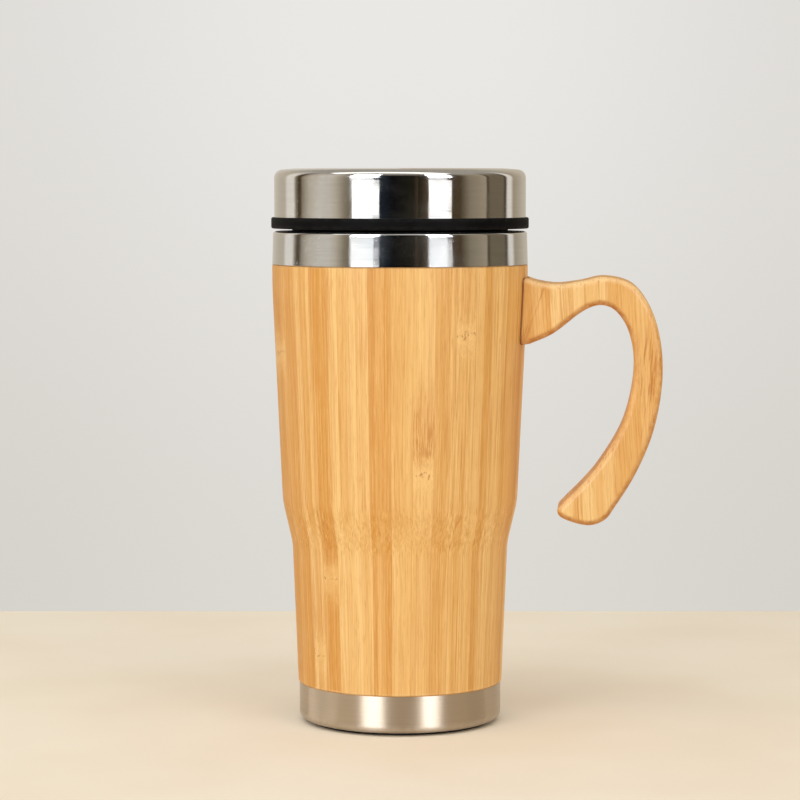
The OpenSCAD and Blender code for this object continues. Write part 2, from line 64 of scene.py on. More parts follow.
# The slider's travel, its play and its screw's place, and the half width and ends of its plate, stem
# and tab. The sip hole's place, the length and width of the hole and of its seal, and the vent
TRAVEL, PLAY, STEM_Y = 14, 0.3, -4.1
SLIDER, STEM, TAB = (9.0, -31.2, 15.1), (2.5, STEM_Y - 4, STEM_Y + 4), (7, STEM_Y - 6, STEM_Y + 6)
SIP_Y, SIP, SEAL = -25.5, (12, 7), (15.2, 10.2)
VENT, VENT_R = (17, 22), 1.3


# Outlines

def arc_corner(before, corner, after, radius, steps, tight=4):
    """A corner of an outline as an arc. Each point is marked as part of an edge if the arc is tight"""
    u = (Vector(before) - Vector(corner)).normalized()
    v = (Vector(after) - Vector(corner)).normalized()
    half = u.angle(v) / 2
    centre = Vector(corner) + (u + v).normalized() * radius / math.sin(half)
    p = Vector(corner) + u * radius / math.tan(half) - centre
    q = Vector(corner) + v * radius / math.tan(half) - centre
    start = math.atan2(p.y, p.x)
    turn = (math.atan2(q.y, q.x) - start + 3 * math.pi) % math.tau - math.pi
    edge = 1.0 if radius < tight else 0.0
    return [
        (centre.x + radius * math.cos(start + turn * i / steps),
         centre.y + radius * math.sin(start + turn * i / steps), edge)
        for i in range(steps + 1)
    ]


def rounded(points, steps=8):
    """An open outline of (radius, height) points. A third value rounds the corner at its point"""
    path = []
    for i, (r, z, *corner) in enumerate(points):
        if corner:
            path += arc_corner(points[i - 1][:2], (r, z), points[i + 1][:2], corner[0], steps)
        else:
            path.append((r, z, 0.0))
    return path


def cup_side(inset, low, high):
    """The cup's tapered side, drawn in from the sleeve's outer face"""
    return rounded([
        (FOOT_R - inset, low), (FOOT_R - inset, BASE_TOP), (WAIST_R - inset, WAIST, 27),
        (HIP_R - inset, HIP, 33), (SLEEVE_R - inset, LAND, 200), (SLEEVE_R - inset, high)], 16)


def sleeve_radius(z):
    """Radius of the sleeve's outer face at a height"""
    heights = [(BASE_TOP, FOOT_R), (WAIST, WAIST_R), (HIP, HIP_R), (LAND, SLEEVE_R), (RIM, SLEEVE_R)]
    for (z0, r0), (z1, r1) in zip(heights, heights[1:]):
        if z <= z1:
            return r0 + (r1 - r0) * (z - z0) / (z1 - z0)
    return SLEEVE_R


# Meshes

def finish_mesh(piece, crease=32):
    """Merges doubles, points the faces outwards and marks edges sharper than the crease, in degrees"""
    work = bmesh.new()
    work.from_mesh(piece.data)
    bmesh.ops.remove_doubles(work, verts=work.verts, dist=TOUCHING * MM)
    bmesh.ops.dissolve_degenerate(work, edges=work.edges, dist=TOUCHING * MM / 4)
    bmesh.ops.recalc_face_normals(work, faces=work.faces)
    for face in work.faces:
        face.smooth = True
    for line in work.edges:
        line.smooth = len(line.link_faces) == 2 and line.calc_face_angle(0) < math.radians(crease)
    work.to_mesh(piece.data)
    work.free()
    return piece


def new_object(name, data):
    thing = bpy.data.objects.new(name, data)
    bpy.context.scene.collection.objects.link(thing)
    return thing


def new_piece(name, verts, faces, material=None):
    """An object from points in millimetres"""
    mesh = bpy.data.meshes.new(name)
    mesh.from_pydata([Vector(v) * MM for v in verts], [], faces)
    if material:
        mesh.materials.append(material)
    return new_object(name, mesh)


def mark_edges(piece, marks):
    """Keeps with each point how much it belongs to an edge, for the wear and for the hook's painted
    edge light and shade
    """
    piece.data.attributes.new("edge", "FLOAT", "POINT").data.foreach_set("value", marks)


def settle(piece):
    """Turns a piece's modifiers into plain mesh of one material"""
    graph = bpy.context.evaluated_depsgraph_get()
    graph.update()
    mesh = bpy.data.meshes.new_from_object(piece.evaluated_get(graph), depsgraph=graph)
    piece.modifiers.clear()
    piece.data = mesh
    finishes = [material for material in mesh.materials if material]
    mesh.materials.clear()
    for material in finishes[:1]:
        mesh.materials.append(material)
    return piece


def through(piece, name, tree, ids, inputs):
    """Puts a piece through a Geometry Nodes tree, whose inputs are given by their names"""
    change = piece.modifiers.new(name, "NODES")
    change.node_group = tree
    for label, value in inputs.items():
        change[ids[label]] = value
    return settle(piece)


def new_tree(name, sockets):
    """A Geometry Nodes tree with its named inputs and one geometry output"""
    tree = bpy.data.node_groups.new(name, "GeometryNodeTree")
    ids = {}
    for label, kind in sockets:
        socket = tree.interface.new_socket(label, in_out="INPUT", socket_type="NodeSocket" + kind)
        ids[label] = socket.identifier
    tree.interface.new_socket("Piece", in_out="OUTPUT", socket_type="NodeSocketGeometry")
    return tree, ids, tree.nodes.new("NodeGroupInput").outputs, tree.nodes.new("NodeGroupOutput").inputs


def feed(socket, value):
    """Links an input to what gives its value, or sets it"""
    if isinstance(value, bpy.types.NodeSocket):
        socket.id_data.links.new(value, socket)
    elif value is not None:
        socket.default_value = value


def put(tree, kind, sockets=None, **settings):
    """The outputs of a new node, with its settings made and its inputs fed"""
    node = tree.nodes.new(kind)
    for name, value in settings.items():
        setattr(node, name, value)
    for key, value in (sockets or {}).items():
        feed(node.inputs[key], value)
    return node.outputs


def tree_of(*values):
    """The node tree of the first of some values that is a socket"""
    return next(value.id_data for value in values if isinstance(value, bpy.types.NodeSocket))


def calc(operation, *values, clamp=False):
    return put(tree_of(*values), "ShaderNodeMath", dict(enumerate(values)), operation=operation,
               use_clamp=clamp)[0]


# scaled gives a value times a factor, plus a start
times, plus, minus, ratio, scaled, floored, absolute = (partial(calc, operation) for operation in (
    "MULTIPLY", "ADD", "SUBTRACT", "DIVIDE", "MULTIPLY_ADD", "FLOOR", "ABSOLUTE"))


def split(vector):
    return put(vector.id_data, "ShaderNodeSeparateXYZ", {0: vector})


def channels(colour):
    return put(colour.id_data, "ShaderNodeSeparateColor", {0: colour})


def join(x=None, y=None, z=None):
    return put(tree_of(x, y, z), "ShaderNodeCombineXYZ", {0: x, 1: y, 2: z})[0]


def end_tree(tree, made, last, finish):
    """Ends a Geometry Nodes tree with real geometry in one material"""
    real = put(tree, "GeometryNodeRealizeInstances", {"Geometry": last[0]})
    feed(made[0], put(tree, "GeometryNodeSetMaterial", {"Geometry": real[0], "Material": finish})[0])


def turning_tree():
    """Turns an outline of points round the cup's axis and carries its edge marks along"""
    tree, ids, given, made = new_tree("turned piece", [
        ("Outline", "Geometry"), ("Sides", "Int"), ("Finish", "Material")])
    outline, sides, finish = list(given)[:3]
    count = put(tree, "GeometryNodeAttributeDomainSize", {"Geometry": outline}, component="MESH")
    columns = plus(sides, 1.0)
    grid = put(tree, "GeometryNodeMeshGrid", {"Vertices X": count[0], "Vertices Y": columns})
    index = put(tree, "GeometryNodeInputIndex")[0]
    along = floored(ratio(index, columns))
    angle = times(ratio(calc("MODULO", index, columns), sides), math.tau)

    def at_outline(value, kind):
        return put(tree, "GeometryNodeSampleIndex", {"Geometry": outline, "Value": value, "Index": along},
                   data_type=kind, domain="POINT")[0]

    place = at_outline(put(tree, "GeometryNodeInputPosition")[0], "FLOAT_VECTOR")
    edge = at_outline(put(tree, "GeometryNodeInputNamedAttribute", {"Name": "edge"},
                          data_type="FLOAT")[0], "FLOAT")
    radius, _, height = split(place)
    spot = join(times(radius, calc("COSINE", angle)), times(radius, calc("SINE", angle)), height)
    placed = put(tree, "GeometryNodeSetPosition", {"Geometry": grid["Mesh"], "Position": spot})
    marked = put(tree, "GeometryNodeStoreNamedAttribute", {
        "Geometry": placed[0], "Name": "edge", "Value": edge}, data_type="FLOAT", domain="POINT")
    closed = put(tree, "GeometryNodeMergeByDistance", {"Geometry": marked[0], "Distance": TOUCHING * MM})
    end_tree(tree, made, closed, finish)
    return tree, ids


TURNING = turning_tree()


def kept_near(path, reach=0.8):
    """An outline with points added so that an edge mark fades out close to its edge"""
    marked = []
    for a, b in zip(path, path[1:] + path[:1]):
        marked.append(a)
        length = math.hypot(b[0] - a[0], b[1] - a[1])
        if length > 2.5 * reach:
            for mark, share in ((a[2], reach / length), (b[2], 1 - reach / length)):
                if mark:
                    marked.append((a[0] + (b[0] - a[0]) * share, a[1] + (b[1] - a[1]) * share, 0.0))
    return marked


def turned(name, path, material, sides=COLUMNS):
    """A piece turned from an outline of (radius, height, edge) points, closed if it leaves the axis"""
    path = kept_near(path)
    if path[0][0] > 0 or path[-1][0] > 0:
        path = path + [path[0]]
    piece = new_piece(name, [(r, 0, z) for r, z, _ in path], [])
    mark_edges(piece, [mark for _, _, mark in path])
    return finish_mesh(through(piece, "turning", *TURNING, {"Sides": sides, "Finish": material}))


def stack(name, rings, material=None):
    """A closed piece through rings of equally many points, capped at both ends"""
    count = len(rings[0])
    faces = [list(range(count))[::-1], [i + (len(rings) - 1) * count for i in range(count)]]
    for k in range(len(rings) - 1):
        for i in range(count):
            j = (i + 1) % count
            faces.append([k * count + i, k * count + j, (k + 1) * count + j, (k + 1) * count + i])
    return new_piece(name, [v for ring in rings for v in ring], faces, material)


def block_ring(half, low, high, corner, z, steps=6):
    """Outline of a block with round corners, centred on X, at one height"""
    ring = []
    for x, y, start in ((half - corner, high - corner, 0), (corner - half, high - corner, 90),
                        (corner - half, low + corner, 180), (half - corner, low + corner, 270)):
        for i in range(steps + 1):
            a = math.radians(start + 90 * i / steps)
            ring.append((x + corner * math.cos(a), y + corner * math.sin(a), z))
    return ring


def soft_block(name, half, low, high, corner, foot, top, edge=0.0, material=None):
    """A block with round corners whose upper edge is rounded over"""
    rings = [block_ring(half, low, high, corner, foot)]
    for turn in (0, 30, 60, 90) if edge else (0,):
        a = math.radians(turn)
        inset = edge * (1 - math.cos(a))
        rings.append(block_ring(half - inset, low + inset, high - inset, corner - inset,
                                top - edge * (1 - math.sin(a))))
    return stack(name, rings, material)


def combine(piece, other, how):
    """Adds or cuts another solid with a Boolean, which uses that solid up"""
    if not other.data.materials[:]:
        for material in piece.data.materials:
            other.data.materials.append(material)
    change = piece.modifiers.new("joining", "BOOLEAN")
    change.operation, change.solver, change.object = how, "EXACT", other
    settle(piece)
    bpy.data.objects.remove(other)


def add(piece, *others):
    for other in others:
        combine(piece, other, "UNION")


def cut(piece, *others):
    for other in others:
        combine(piece, other, "DIFFERENCE")


def oval(name, place, size, foot, top):
    """A solid oval with half-round ends, its length along X, round a place on Y"""
    half, end = size[0] / 2, size[1] / 2
    return soft_block(name, half, place - end, place + end, end - 0.001, foot, top)


def along_track(name, block, room, corner, foot, top):
    """The space that a block of the slider takes up over its travel, with room round it"""
    half, front, tail = block
    return soft_block(name, half + room, front - room, tail + TRAVEL + room, corner, foot, top)


def drill(name, place, radius, foot, top, sides=32):
    """A round solid at a place on X and Y"""
    turns = [math.tau * i / sides for i in range(sides)]
    return stack(name, [[(place[0] + radius * math.cos(a), place[1] + radius * math.sin(a), z)
                         for a in turns] for z in (foot, top)])


def dress(piece, body, node):
    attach(piece, body)
    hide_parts(node)


# Shader node groups

def shade(*looks):
    """A colour given as it looks, red, green and blue from 0 to 255, in linear light"""
    return tuple(v / 3294.6 if v < 10.3 else ((v / 255 + 0.055) / 1.055) ** 2.4 for v in looks) + (1.0,)


def mix(share, first, second):
    return put(share.id_data, "ShaderNodeMix", {0: share, 6: first, 7: second}, data_type="RGBA")[2]


def step(value, low, high, start=0.0, end=1.0, kind="SMOOTHSTEP"):
    return put(value.id_data, "ShaderNodeMapRange", {
        "Value": value, "From Min": low, "From Max": high, "To Min": start, "To Max": end},
        interpolation_type=kind)[0]


def noise(vector, scale, detail=2.0, roughness=0.5):
    return put(vector.id_data, "ShaderNodeTexNoise", {
        "Vector": vector, "Scale": scale, "Detail": detail, "Roughness": roughness})


def tinted(base, mask, share, colour):
    """The base with a colour laid on by a share of the mask"""
    return mix(times(mask, share), base, colour)


def at_random(value):
    return put(value.id_data, "ShaderNodeTexWhiteNoise", {"W": value}, noise_dimensions="1D")[0]


def from_axis(x, y):
    """Distance from the cup's axis"""
    return calc("SQRT", scaled(x, x, times(y, y)))


def cells(vector, scale, feature="F1", spread="3D"):
    return put(vector.id_data, "ShaderNodeTexVoronoi", {"Vector": vector, "Scale": scale},
               feature=feature, voronoi_dimensions=spread)


def new_group(name, inputs, outputs):
    """A shader node group with its place first. Inputs are (label, kind, value), outputs (label, kind)"""
    tree = bpy.data.node_groups.new(name, "ShaderNodeTree")
    for label, kind, value in [("Place", "Vector", (0, 0, 0))] + inputs:
        socket = tree.interface.new_socket(label, in_out="INPUT", socket_type="NodeSocket" + kind)
        socket.default_value = value
    for label, kind in outputs:
        tree.interface.new_socket(label, in_out="OUTPUT", socket_type="NodeSocket" + kind)
    given, made = put(tree, "NodeGroupInput"), tree.nodes.new("NodeGroupOutput").inputs
    return tree, {s.name: s for s in given if s.name}, {s.name: s for s in made if s.name}


def bamboo_group():
    """Solid bamboo: fibres along Z, their bundles, darker streaks and the knuckle of one strip"""
    tree, given, made = new_group("bamboo fibres", [
        ("Strip", "Float", 0), ("Slip", "Float", 0), ("Knuckle", "Float", 0), ("Bundles", "Float", 0.2),
        ("Pores", "Float", 1.7), ("Streaks", "Float", 0.5), ("Light", "Color", shade(247, 204, 135)),
        ("Middle", "Color", shade(220, 159, 79)), ("Dark", "Color", shade(200, 134, 54))],
        [("Color", "Color"), ("Roughness", "Float"), ("Relief", "Float")])
    x, y, z = split(given["Place"])
    shift = times(given["Strip"], 53.7)

    def stretched(xs, ys, along):
        return join(xs, ys, scaled(z, along, shift))

    near = minus(z, given["Knuckle"])
    rough_z = scaled(noise(given["Place"], 0.35, 2.0)[0], 9.0, near)
    from_knuckle = absolute(ratio(rough_z, 6.0))
    bulge = calc("EXPONENT", times(calc("POWER", from_knuckle, 2.0), -1.0))
    wander = channels(noise(stretched(x, y, 0.2), 0.05, 1.0)[1])
    twist = channels(noise(given["Place"], 0.4, 2.0)[1])
    sway = scaled(bulge, 2.4, 0.08)
    across = []
    for axis, slow, quick in ((x, wander[0], twist[0]), (y, wander[1], twist[1])):
        moved = scaled(minus(slow, 0.5), 2.4, axis)
        moved = scaled(minus(quick, 0.5), sway, moved)
        across.append(plus(moved, shift))
    fine = noise(stretched(*across, 0.014), 2.2, 3.0, 0.62)[0]
    broad = noise(stretched(*across, 0.01), 0.42, 2.0, 0.6)[0]
    streak = noise(stretched(*across, 0.02), 0.8, 2.0, 0.55)[0]
    dash = noise(stretched(*across, 0.045), 3.4, 2.0, 0.6)[0]
    bundles = cells(stretched(*across, 0.0), given["Pores"], spread="2D")
    odds = channels(bundles["Color"])[0]
    dot = times(step(bundles["Distance"], 0.36, 0.12), step(odds, 0.3, 0.8))
    tone = scaled(at_random(given["Strip"]), 0.7, 0.05)
    tone = scaled(at_random(given["Slip"]), 0.45, tone)
    lightness = scaled(broad, 0.8, tone)
    colour = mix(step(lightness, 0.5, 1.5), given["Middle"], given["Light"])
    plain = scaled(at_random(plus(given["Slip"], 0.5)), 0.42, 0.18)
    for value, low, high, share, tint in (
            (fine, 0.4, 0.7, plain, given["Dark"]), (fine, 0.44, 0.28, plain, given["Light"]),
            (dash, 0.54, 0.72, 0.4, given["Dark"]), (dash, 0.42, 0.3, 0.3, given["Light"]),
            (streak, 0.6, 0.72, given["Streaks"], shade(204, 132, 56))):
        colour = tinted(colour, step(value, low, high), share, tint)
    colour = tinted(colour, dot, given["Bundles"], shade(166, 98, 38))
    line = times(step(absolute(rough_z), 1.1, 0.0), step(fine, 0.44, 0.6))
    flare = times(step(rough_z, 1.0, 6.0), step(rough_z, 34.0, 8.0))
    flare = times(flare, step(dash, 0.4, 0.6, 0.2, 0.75))
    luck = at_random(plus(given["Strip"], 0.3))
    flare = times(flare, step(luck, 0.2, 0.8, 0.3, 1.0))
    colour = mix(flare, colour, shade(196, 124, 46))
    colour = tinted(colour, bulge, 0.5, given["Light"])
    colour = tinted(colour, line, 0.65, shade(168, 96, 36))
    feed(made["Color"], colour)
    feed(made["Roughness"], scaled(fine, 0.16, 0.36))
    feed(made["Relief"], minus(scaled(bulge, 0.8, fine), plus(dot, line)))
    return tree


def brushing_group():
    """Fine lines that run round the axis, across a wall and across a floor alike"""
    tree, given, made = new_group("brushing round the axis", [
        ("Lines", "Float", 4.0), ("Length", "Float", 1.5)], [("Fine", "Float"), ("Coarse", "Float")])
    x, y, z = split(given["Place"])
    radius = from_axis(x, y)
    safe = calc("MAXIMUM", radius, 0.01)
    round_x, round_y = (times(ratio(side, safe), given["Length"]) for side in (x, y))
    level = times(scaled(radius, 0.83, z), given["Lines"])
    for label, share in (("Fine", 1.0), ("Coarse", 0.22)):
        spot = join(times(level, share), round_x, round_y)
        feed(made[label], noise(spot, 1.0, 3.0, 0.65)[0])
    return tree


def handling_group():
    """What handling leaves: soft smudges, sparse dust and hairline scratches"""
    tree, given, made = new_group("handling marks", [("Scale", "Float", 0.06)], [
        ("Smudge", "Float"), ("Dust", "Float"), ("Scratch", "Float")])
    cloud = noise(given["Place"], given["Scale"], 4.0, 0.6)[0]
    feed(made["Smudge"], step(cloud, 0.38, 0.68))
    specks = cells(given["Place"], 0.7)
    feed(made["Dust"], step(specks["Distance"], 0.12, 0.04))
    scratch = None
    for turn, length in (((0.4, 0.9, 0.3), 0.05), ((1.2, 0.2, 1.9), 0.04)):
        spun = put(tree, "ShaderNodeMapping", {
            "Vector": given["Place"], "Rotation": turn, "Scale": (2.6, length, 2.6)},
            vector_type="POINT")[0]
        hair = step(noise(spun, 1.0, 1.0)[0], 0.71, 0.75)
        scratch = hair if scratch is None else calc("MAXIMUM", scratch, hair)
    feed(made["Scratch"], scratch)
    return tree


def wear_group():
    """Where an edge is rubbed, from its mark and some unevenness"""
    tree, given, made = new_group("rubbed edges", [
        ("Edge", "Float", 0), ("Amount", "Float", 0.5)], [("Worn", "Float")])
    patchy = noise(given["Place"], 0.35, 4.0, 0.7)[0]
    worn = times(given["Edge"], step(patchy, 0.35, 0.62))
    feed(made["Worn"], times(worn, given["Amount"], clamp=True))
    return tree


def pebble_group():
    """The fine pebbled skin of moulded plastic and rubber"""
    tree, given, made = new_group("moulded skin", [("Scale", "Float", 4.0)], [
        ("Relief", "Float"), ("Cloud", "Float")])
    pebbles = cells(given["Place"], given["Scale"], "SMOOTH_F1")
    feed(made["Relief"], pebbles["Distance"])
    feed(made["Cloud"], noise(given["Place"], 0.12, 3.0)[0])
    return tree


BAMBOO, BRUSHING, HANDLING, WEAR, PEBBLE = (
    bamboo_group(), brushing_group(), handling_group(), wear_group(), pebble_group())


# Materials

def new_material(name, **constants):
    """A material with its shader, its constants set on the shader, and the place in millimetres"""
    material = bpy.data.materials.new(name)
    material.use_nodes = True
    tree = material.node_tree
    tree.nodes.clear()
    shader = tree.nodes.new("ShaderNodeBsdfPrincipled")
    for label, value in constants.items():
        shader.inputs[label.replace("_", " ")].default_value = value
    put(tree, "ShaderNodeOutputMaterial", {"Surface": shader.outputs[0]})
    spot = put(tree, "ShaderNodeTexCoord")["Object"]
    place = put(tree, "ShaderNodeVectorMath", {0: spot, "Scale": 1 / MM}, operation="SCALE")[0]
    return material, tree, shader.inputs, place


def use(group, **inputs):
    return put(inputs["Place"].id_data, "ShaderNodeGroup", inputs, node_tree=group)


def bump(height, depth, normal=None):
    """A surface relief whose depth is in millimetres"""
    return put(height.id_data, "ShaderNodeBump", {
        "Height": height, "Distance": depth * MM, "Strength": 1.0, "Normal": normal})[0]


def edge_mark(tree):
    return put(tree, "ShaderNodeAttribute", attribute_name="edge")["Fac"]


def handled(tree, place, wear):
    """The marks that handling leaves, and the rubbed share of the edges"""
    marks = use(HANDLING, Place=place)
    return marks, use(WEAR, Place=place, Edge=edge_mark(tree), Amount=wear)["Worn"]


def steel(name, colour, roughness, lines, line_depth, wobble, smudges, anisotropy=0.0, wear=0.4):
    """Steel whose brushing runs round the axis, in so many lines to the millimetre"""
    material, tree, shader, place = new_material(
        name, Metallic=1.0, Anisotropic=anisotropy, Anisotropic_Rotation=0.25)
    brushed = use(BRUSHING, Place=place, Lines=lines)
    marks, worn = handled(tree, place, wear)
    dull = times(marks["Smudge"], smudges)
    base = tinted(colour, brushed["Coarse"], 0.16, shade(120, 112, 100))
    base = tinted(base, step(brushed["Fine"], 0.45, 0.75), 0.05 + roughness * 0.5, shade(128, 120, 108))
    base = tinted(base, dull, 0.5, shade(150, 142, 130))
    base = mix(worn, base, shade(236, 232, 226))
    feed(shader["Base Color"], tinted(base, marks["Dust"], 0.15, shade(190, 186, 178)))
    gloss = scaled(dull, 0.5, roughness)
    gloss = scaled(brushed["Fine"], roughness * 0.5, gloss)
    feed(shader["Roughness"], scaled(marks["Scratch"], 0.12, gloss))
    if anisotropy:
        feed(shader["Tangent"], put(tree, "ShaderNodeTangent", direction_type="RADIAL", axis="Z")[0])
    relief = bump(noise(place, 0.11, 1.0)[0], wobble)
    relief = bump(brushed["Fine"], line_depth, relief)
    feed(shader["Normal"], bump(marks["Scratch"], -line_depth * 0.6, relief))
    return material


def bamboo_sleeve_finish():
    """Oiled bamboo staves round the cup, each with its own tone and knuckle. Their fibres follow the
    taper, and the slope above the waist cuts across them"""
    material, tree, shader, place = new_material(
        "oiled bamboo staves", IOR=1.47, Coat_Roughness=0.3, Specular_IOR_Level=0.2)
    x, y, z = split(place)
    radius = from_axis(x, y)
    taper = 0.0
    for low, high, grown in ((BASE_TOP, WAIST, WAIST_R - FOOT_R), (WAIST, HIP, (HIP_R - WAIST_R) * 0.15),
                             (HIP, LAND, SLEEVE_R - HIP_R)):
        taper = plus(taper, step(z, low, high, 0.0, grown, "LINEAR"))
    follow = minus(1.0, ratio(taper, radius))
    straight = join(times(x, follow), times(y, follow), z)
    turn = times(calc("ARCTAN2", y, x), STAVES / math.tau)
    stave = floored(turn)
    slip = floored(scaled(turn, 2.3, 0.4))
    share = calc("FRACT", turn)
    seam = step(absolute(minus(share, 0.5)), 0.478, 0.5)
    knuckle = times(at_random(times(stave, 3.17)), 330.0)
    grain = use(BAMBOO, Place=straight, Strip=plus(stave, STAVE_SEED),
                Slip=plus(slip, STAVE_SEED), Knuckle=knuckle, Bundles=0.16, Streaks=0.45)
    marks, worn = handled(tree, place, 0.4)
    # A darker band at the sleeve's top and foot edges, against the steel: partly oil soaked into the end
    # grain, partly painted shade of the crease there
    ends = plus(step(z, SLEEVE_TOP - 0.75, SLEEVE_TOP - 0.1), step(z, BASE_TOP + 0.8, BASE_TOP + 0.1))
    base = tinted(grain["Color"], seam, 0.3, shade(190, 122, 54))
    base = tinted(base, marks["Smudge"], 0.05, shade(200, 130, 66))
    base = mix(worn, base, shade(252, 216, 158))
    feed(shader["Base Color"], tinted(base, ends, 0.45, shade(150, 90, 38)))
    feed(shader["Roughness"], scaled(marks["Smudge"], 0.07, grain["Roughness"]))
    feed(shader["Coat Weight"], scaled(marks["Smudge"], -0.04, 0.06))
    relief = bump(grain["Relief"], 0.008)
    feed(shader["Normal"], bump(seam, -0.02, relief))
    return material


def heartwood(x, y, z):
    """Dark streaks where the hook's strips run near the culm's skin: in the outer arm and by the root"""
    root = step(x, 56.0, 51.0)
    slant = minus(x, times(scaled(root, 0.23, 0.07), z))
    arm = times(step(x, 77.5, 81.0), times(step(z, 88.0, 100.0), step(z, 138.0, 120.0)))
    root = times(root, times(step(slant, 1.2, 2.4), step(slant, 5.8, 4.4)))
    lines = noise(join(slant, y, times(z, 0.07)), 0.85, 4.0, 0.7)[0]
    return times(scaled(root, 0.6, arm), step(lines, 0.42, 0.64))


def bamboo_handle_finish(layer_wide=5.5, board_wide=19.0, strip_wide=3.4):
    """The hook's laminated bamboo: layers across its thickness, boards and strips across its reach,
    and end grain where the edge turns over. Its rounded edges get a painted highlight where they
    face up and painted shade where they face down"""
    material, tree, shader, place = new_material(
        "oiled bamboo hook", IOR=1.47, Coat_Roughness=0.28, Specular_IOR_Level=0.2)
    x, y, z = split(place)
    lean = scaled(z, 0.05, x)
    tilted = join(lean, y, z)
    layer = scaled(y, 1 / layer_wide, 0.5)
    strip = plus(floored(layer), times(floored(ratio(lean, board_wide)), 7.0))
    slip = floored(ratio(lean, strip_wide))
    upward = split(put(tree, "ShaderNodeTexCoord")["Normal"])[2]
    edge = edge_mark(tree)
    end = step(absolute(upward), 0.1, 0.6)
    grain = use(BAMBOO, Place=tilted, Strip=strip, Slip=slip, Knuckle=-60.0,
                Bundles=scaled(end, 0.72, 0.1), Pores=1.05, Streaks=0.8,
                Light=shade(245, 206, 140), Middle=shade(225, 167, 90))
    marks, worn = handled(tree, place, 0.35)
    seam = step(absolute(minus(calc("FRACT", layer), 0.5)), 0.48, 0.5)
    slope = (SLEEVE_R - HIP_R) / (LAND - HIP)
    sleeve = calc("MINIMUM", scaled(z, slope, HIP_R - HIP * slope), SLEEVE_R)
    joint = step(minus(from_axis(x, y), sleeve), 0.8, 0.3)
    base = mix(times(heartwood(x, y, z), 0.85, clamp=True), grain["Color"], shade(180, 104, 32))
    base = tinted(base, end, 0.15, shade(198, 128, 60))
    # Painted light on the rounded edges: a painted highlight where they face up, painted shade where they
    # face down
    base = tinted(base, edge, step(upward, 0.15, 0.6, 0.0, 0.45), shade(255, 222, 168))
    base = tinted(base, edge, step(upward, 0.12, -0.4, 0.0, 0.8), shade(172, 100, 38))
    base = tinted(base, seam, 0.25, shade(170, 104, 48))
    base = mix(worn, base, shade(250, 206, 142))
    base = tinted(base, marks["Smudge"], 0.06, shade(200, 130, 66))
    feed(shader["Base Color"], tinted(base, joint, 0.8, shade(120, 62, 24)))
    feed(shader["Roughness"], scaled(end, 0.1, grain["Roughness"]))
    feed(shader["Coat Weight"], scaled(marks["Smudge"], -0.04, 0.07))
    relief = bump(grain["Relief"], 0.008)
    feed(shader["Normal"], bump(joint, -0.15, relief))
    return material


def moulded(name, colour, roughness, pebbles, depth, wear=0.4, **constants):
    """Moulded plastic, silicone or rubber, with so many pebbles to the millimetre in its skin"""
    material, tree, shader, place = new_material(name, **constants)
    skin = use(PEBBLE, Place=place, Scale=pebbles)
    marks, worn = handled(tree, place, wear)
    lighter = tuple(min(1.0, v * 2.2 + 0.012) for v in colour[:3]) + (1.0,)
    base = mix(step(skin["Cloud"], 0.3, 0.7, 0.0, 0.2), colour, lighter)
    base = mix(worn, base, lighter)
    feed(shader["Base Color"], tinted(base, marks["Dust"], 0.06, shade(150, 146, 140)))
    gloss = scaled(marks["Smudge"], 0.08, roughness)
    feed(shader["Roughness"], scaled(worn, -0.12, gloss))
    relief = bump(skin["Relief"], depth)
    feed(shader["Normal"], bump(marks["Scratch"], -depth, relief))
    return material


POLISHED = steel("polished cap steel", shade(222, 221, 219), 0.038, 3.2, 0.0012, 0.03, 0.10, wear=0.3)
BAND = steel("polished band steel", shade(220, 221, 221), 0.05, 3.6, 0.0018, 0.04, 0.10, 0.3, wear=0.3)
SATIN = steel("satin base steel", shade(196, 180, 160), 0.265, 7.0, 0.002, 0.02, 0.05, 0.95, wear=0.12)
VESSEL = steel("satin vessel steel", shade(214, 213, 211), 0.24, 3.0, 0.0035, 0.02, 0.14, 0.5, wear=0.3)
HARDWARE = steel("plated screw steel", shade(188, 186, 182), 0.3, 6.0, 0.003, 0.01, 0.2, wear=0.6)
STAVE_BAMBOO = bamboo_sleeve_finish()
HOOK_BAMBOO = bamboo_handle_finish()
LID_BLACK = moulded("black lid plastic", shade(11, 10, 10), 0.52, 3.5, 0.006, IOR=1.4,
                    Specular_IOR_Level=0.04)
SLIDER_BLACK = moulded("black slider plastic", shade(44, 43, 43), 0.5, 3.0, 0.01, 0.6, IOR=1.5)
SEAL_GREY = moulded("clear grey silicone", shade(196, 196, 192), 0.5, 2.0, 0.003, 0.2, IOR=1.41,
                    Subsurface_Weight=0.25, Subsurface_Scale=0.002)
PAD_BLACK = moulded("black pad rubber", shade(26, 25, 24), 0.7, 2.5, 0.02, 0.3, IOR=1.5,
                    Specular_IOR_Level=0.2)


# The cup

# The vessel's inner radius at its floor and waist, and the thickness of its floor
INNER_R, INNER_WAIST_R, FLOOR_PLATE = 28.45, 30.3, 0.7
liner = turned("drinking_vessel", rounded([
    (0, LINER_FLOOR - FLOOR_PLATE), (INNER_R + STEEL, LINER_FLOOR - FLOOR_PLATE, 6.6),
    (INNER_WAIST_R + STEEL, WAIST, 20), (LINER_NECK_R + STEEL, LINER_NECK, 20),
    (LINER_NECK_R + STEEL, RIM - STEEL, 0.4), (LINER_LIP_R, RIM - STEEL)]) + rounded([
    (0, LINER_FLOOR), (INNER_R, LINER_FLOOR, 6), (INNER_WAIST_R, WAIST, 20),
    (LINER_NECK_R, LINER_NECK, 20), (LINER_NECK_R, RIM, 1), (LINER_LIP_R, RIM)])[::-1], VESSEL)
dress(liner, "cup", "liner")

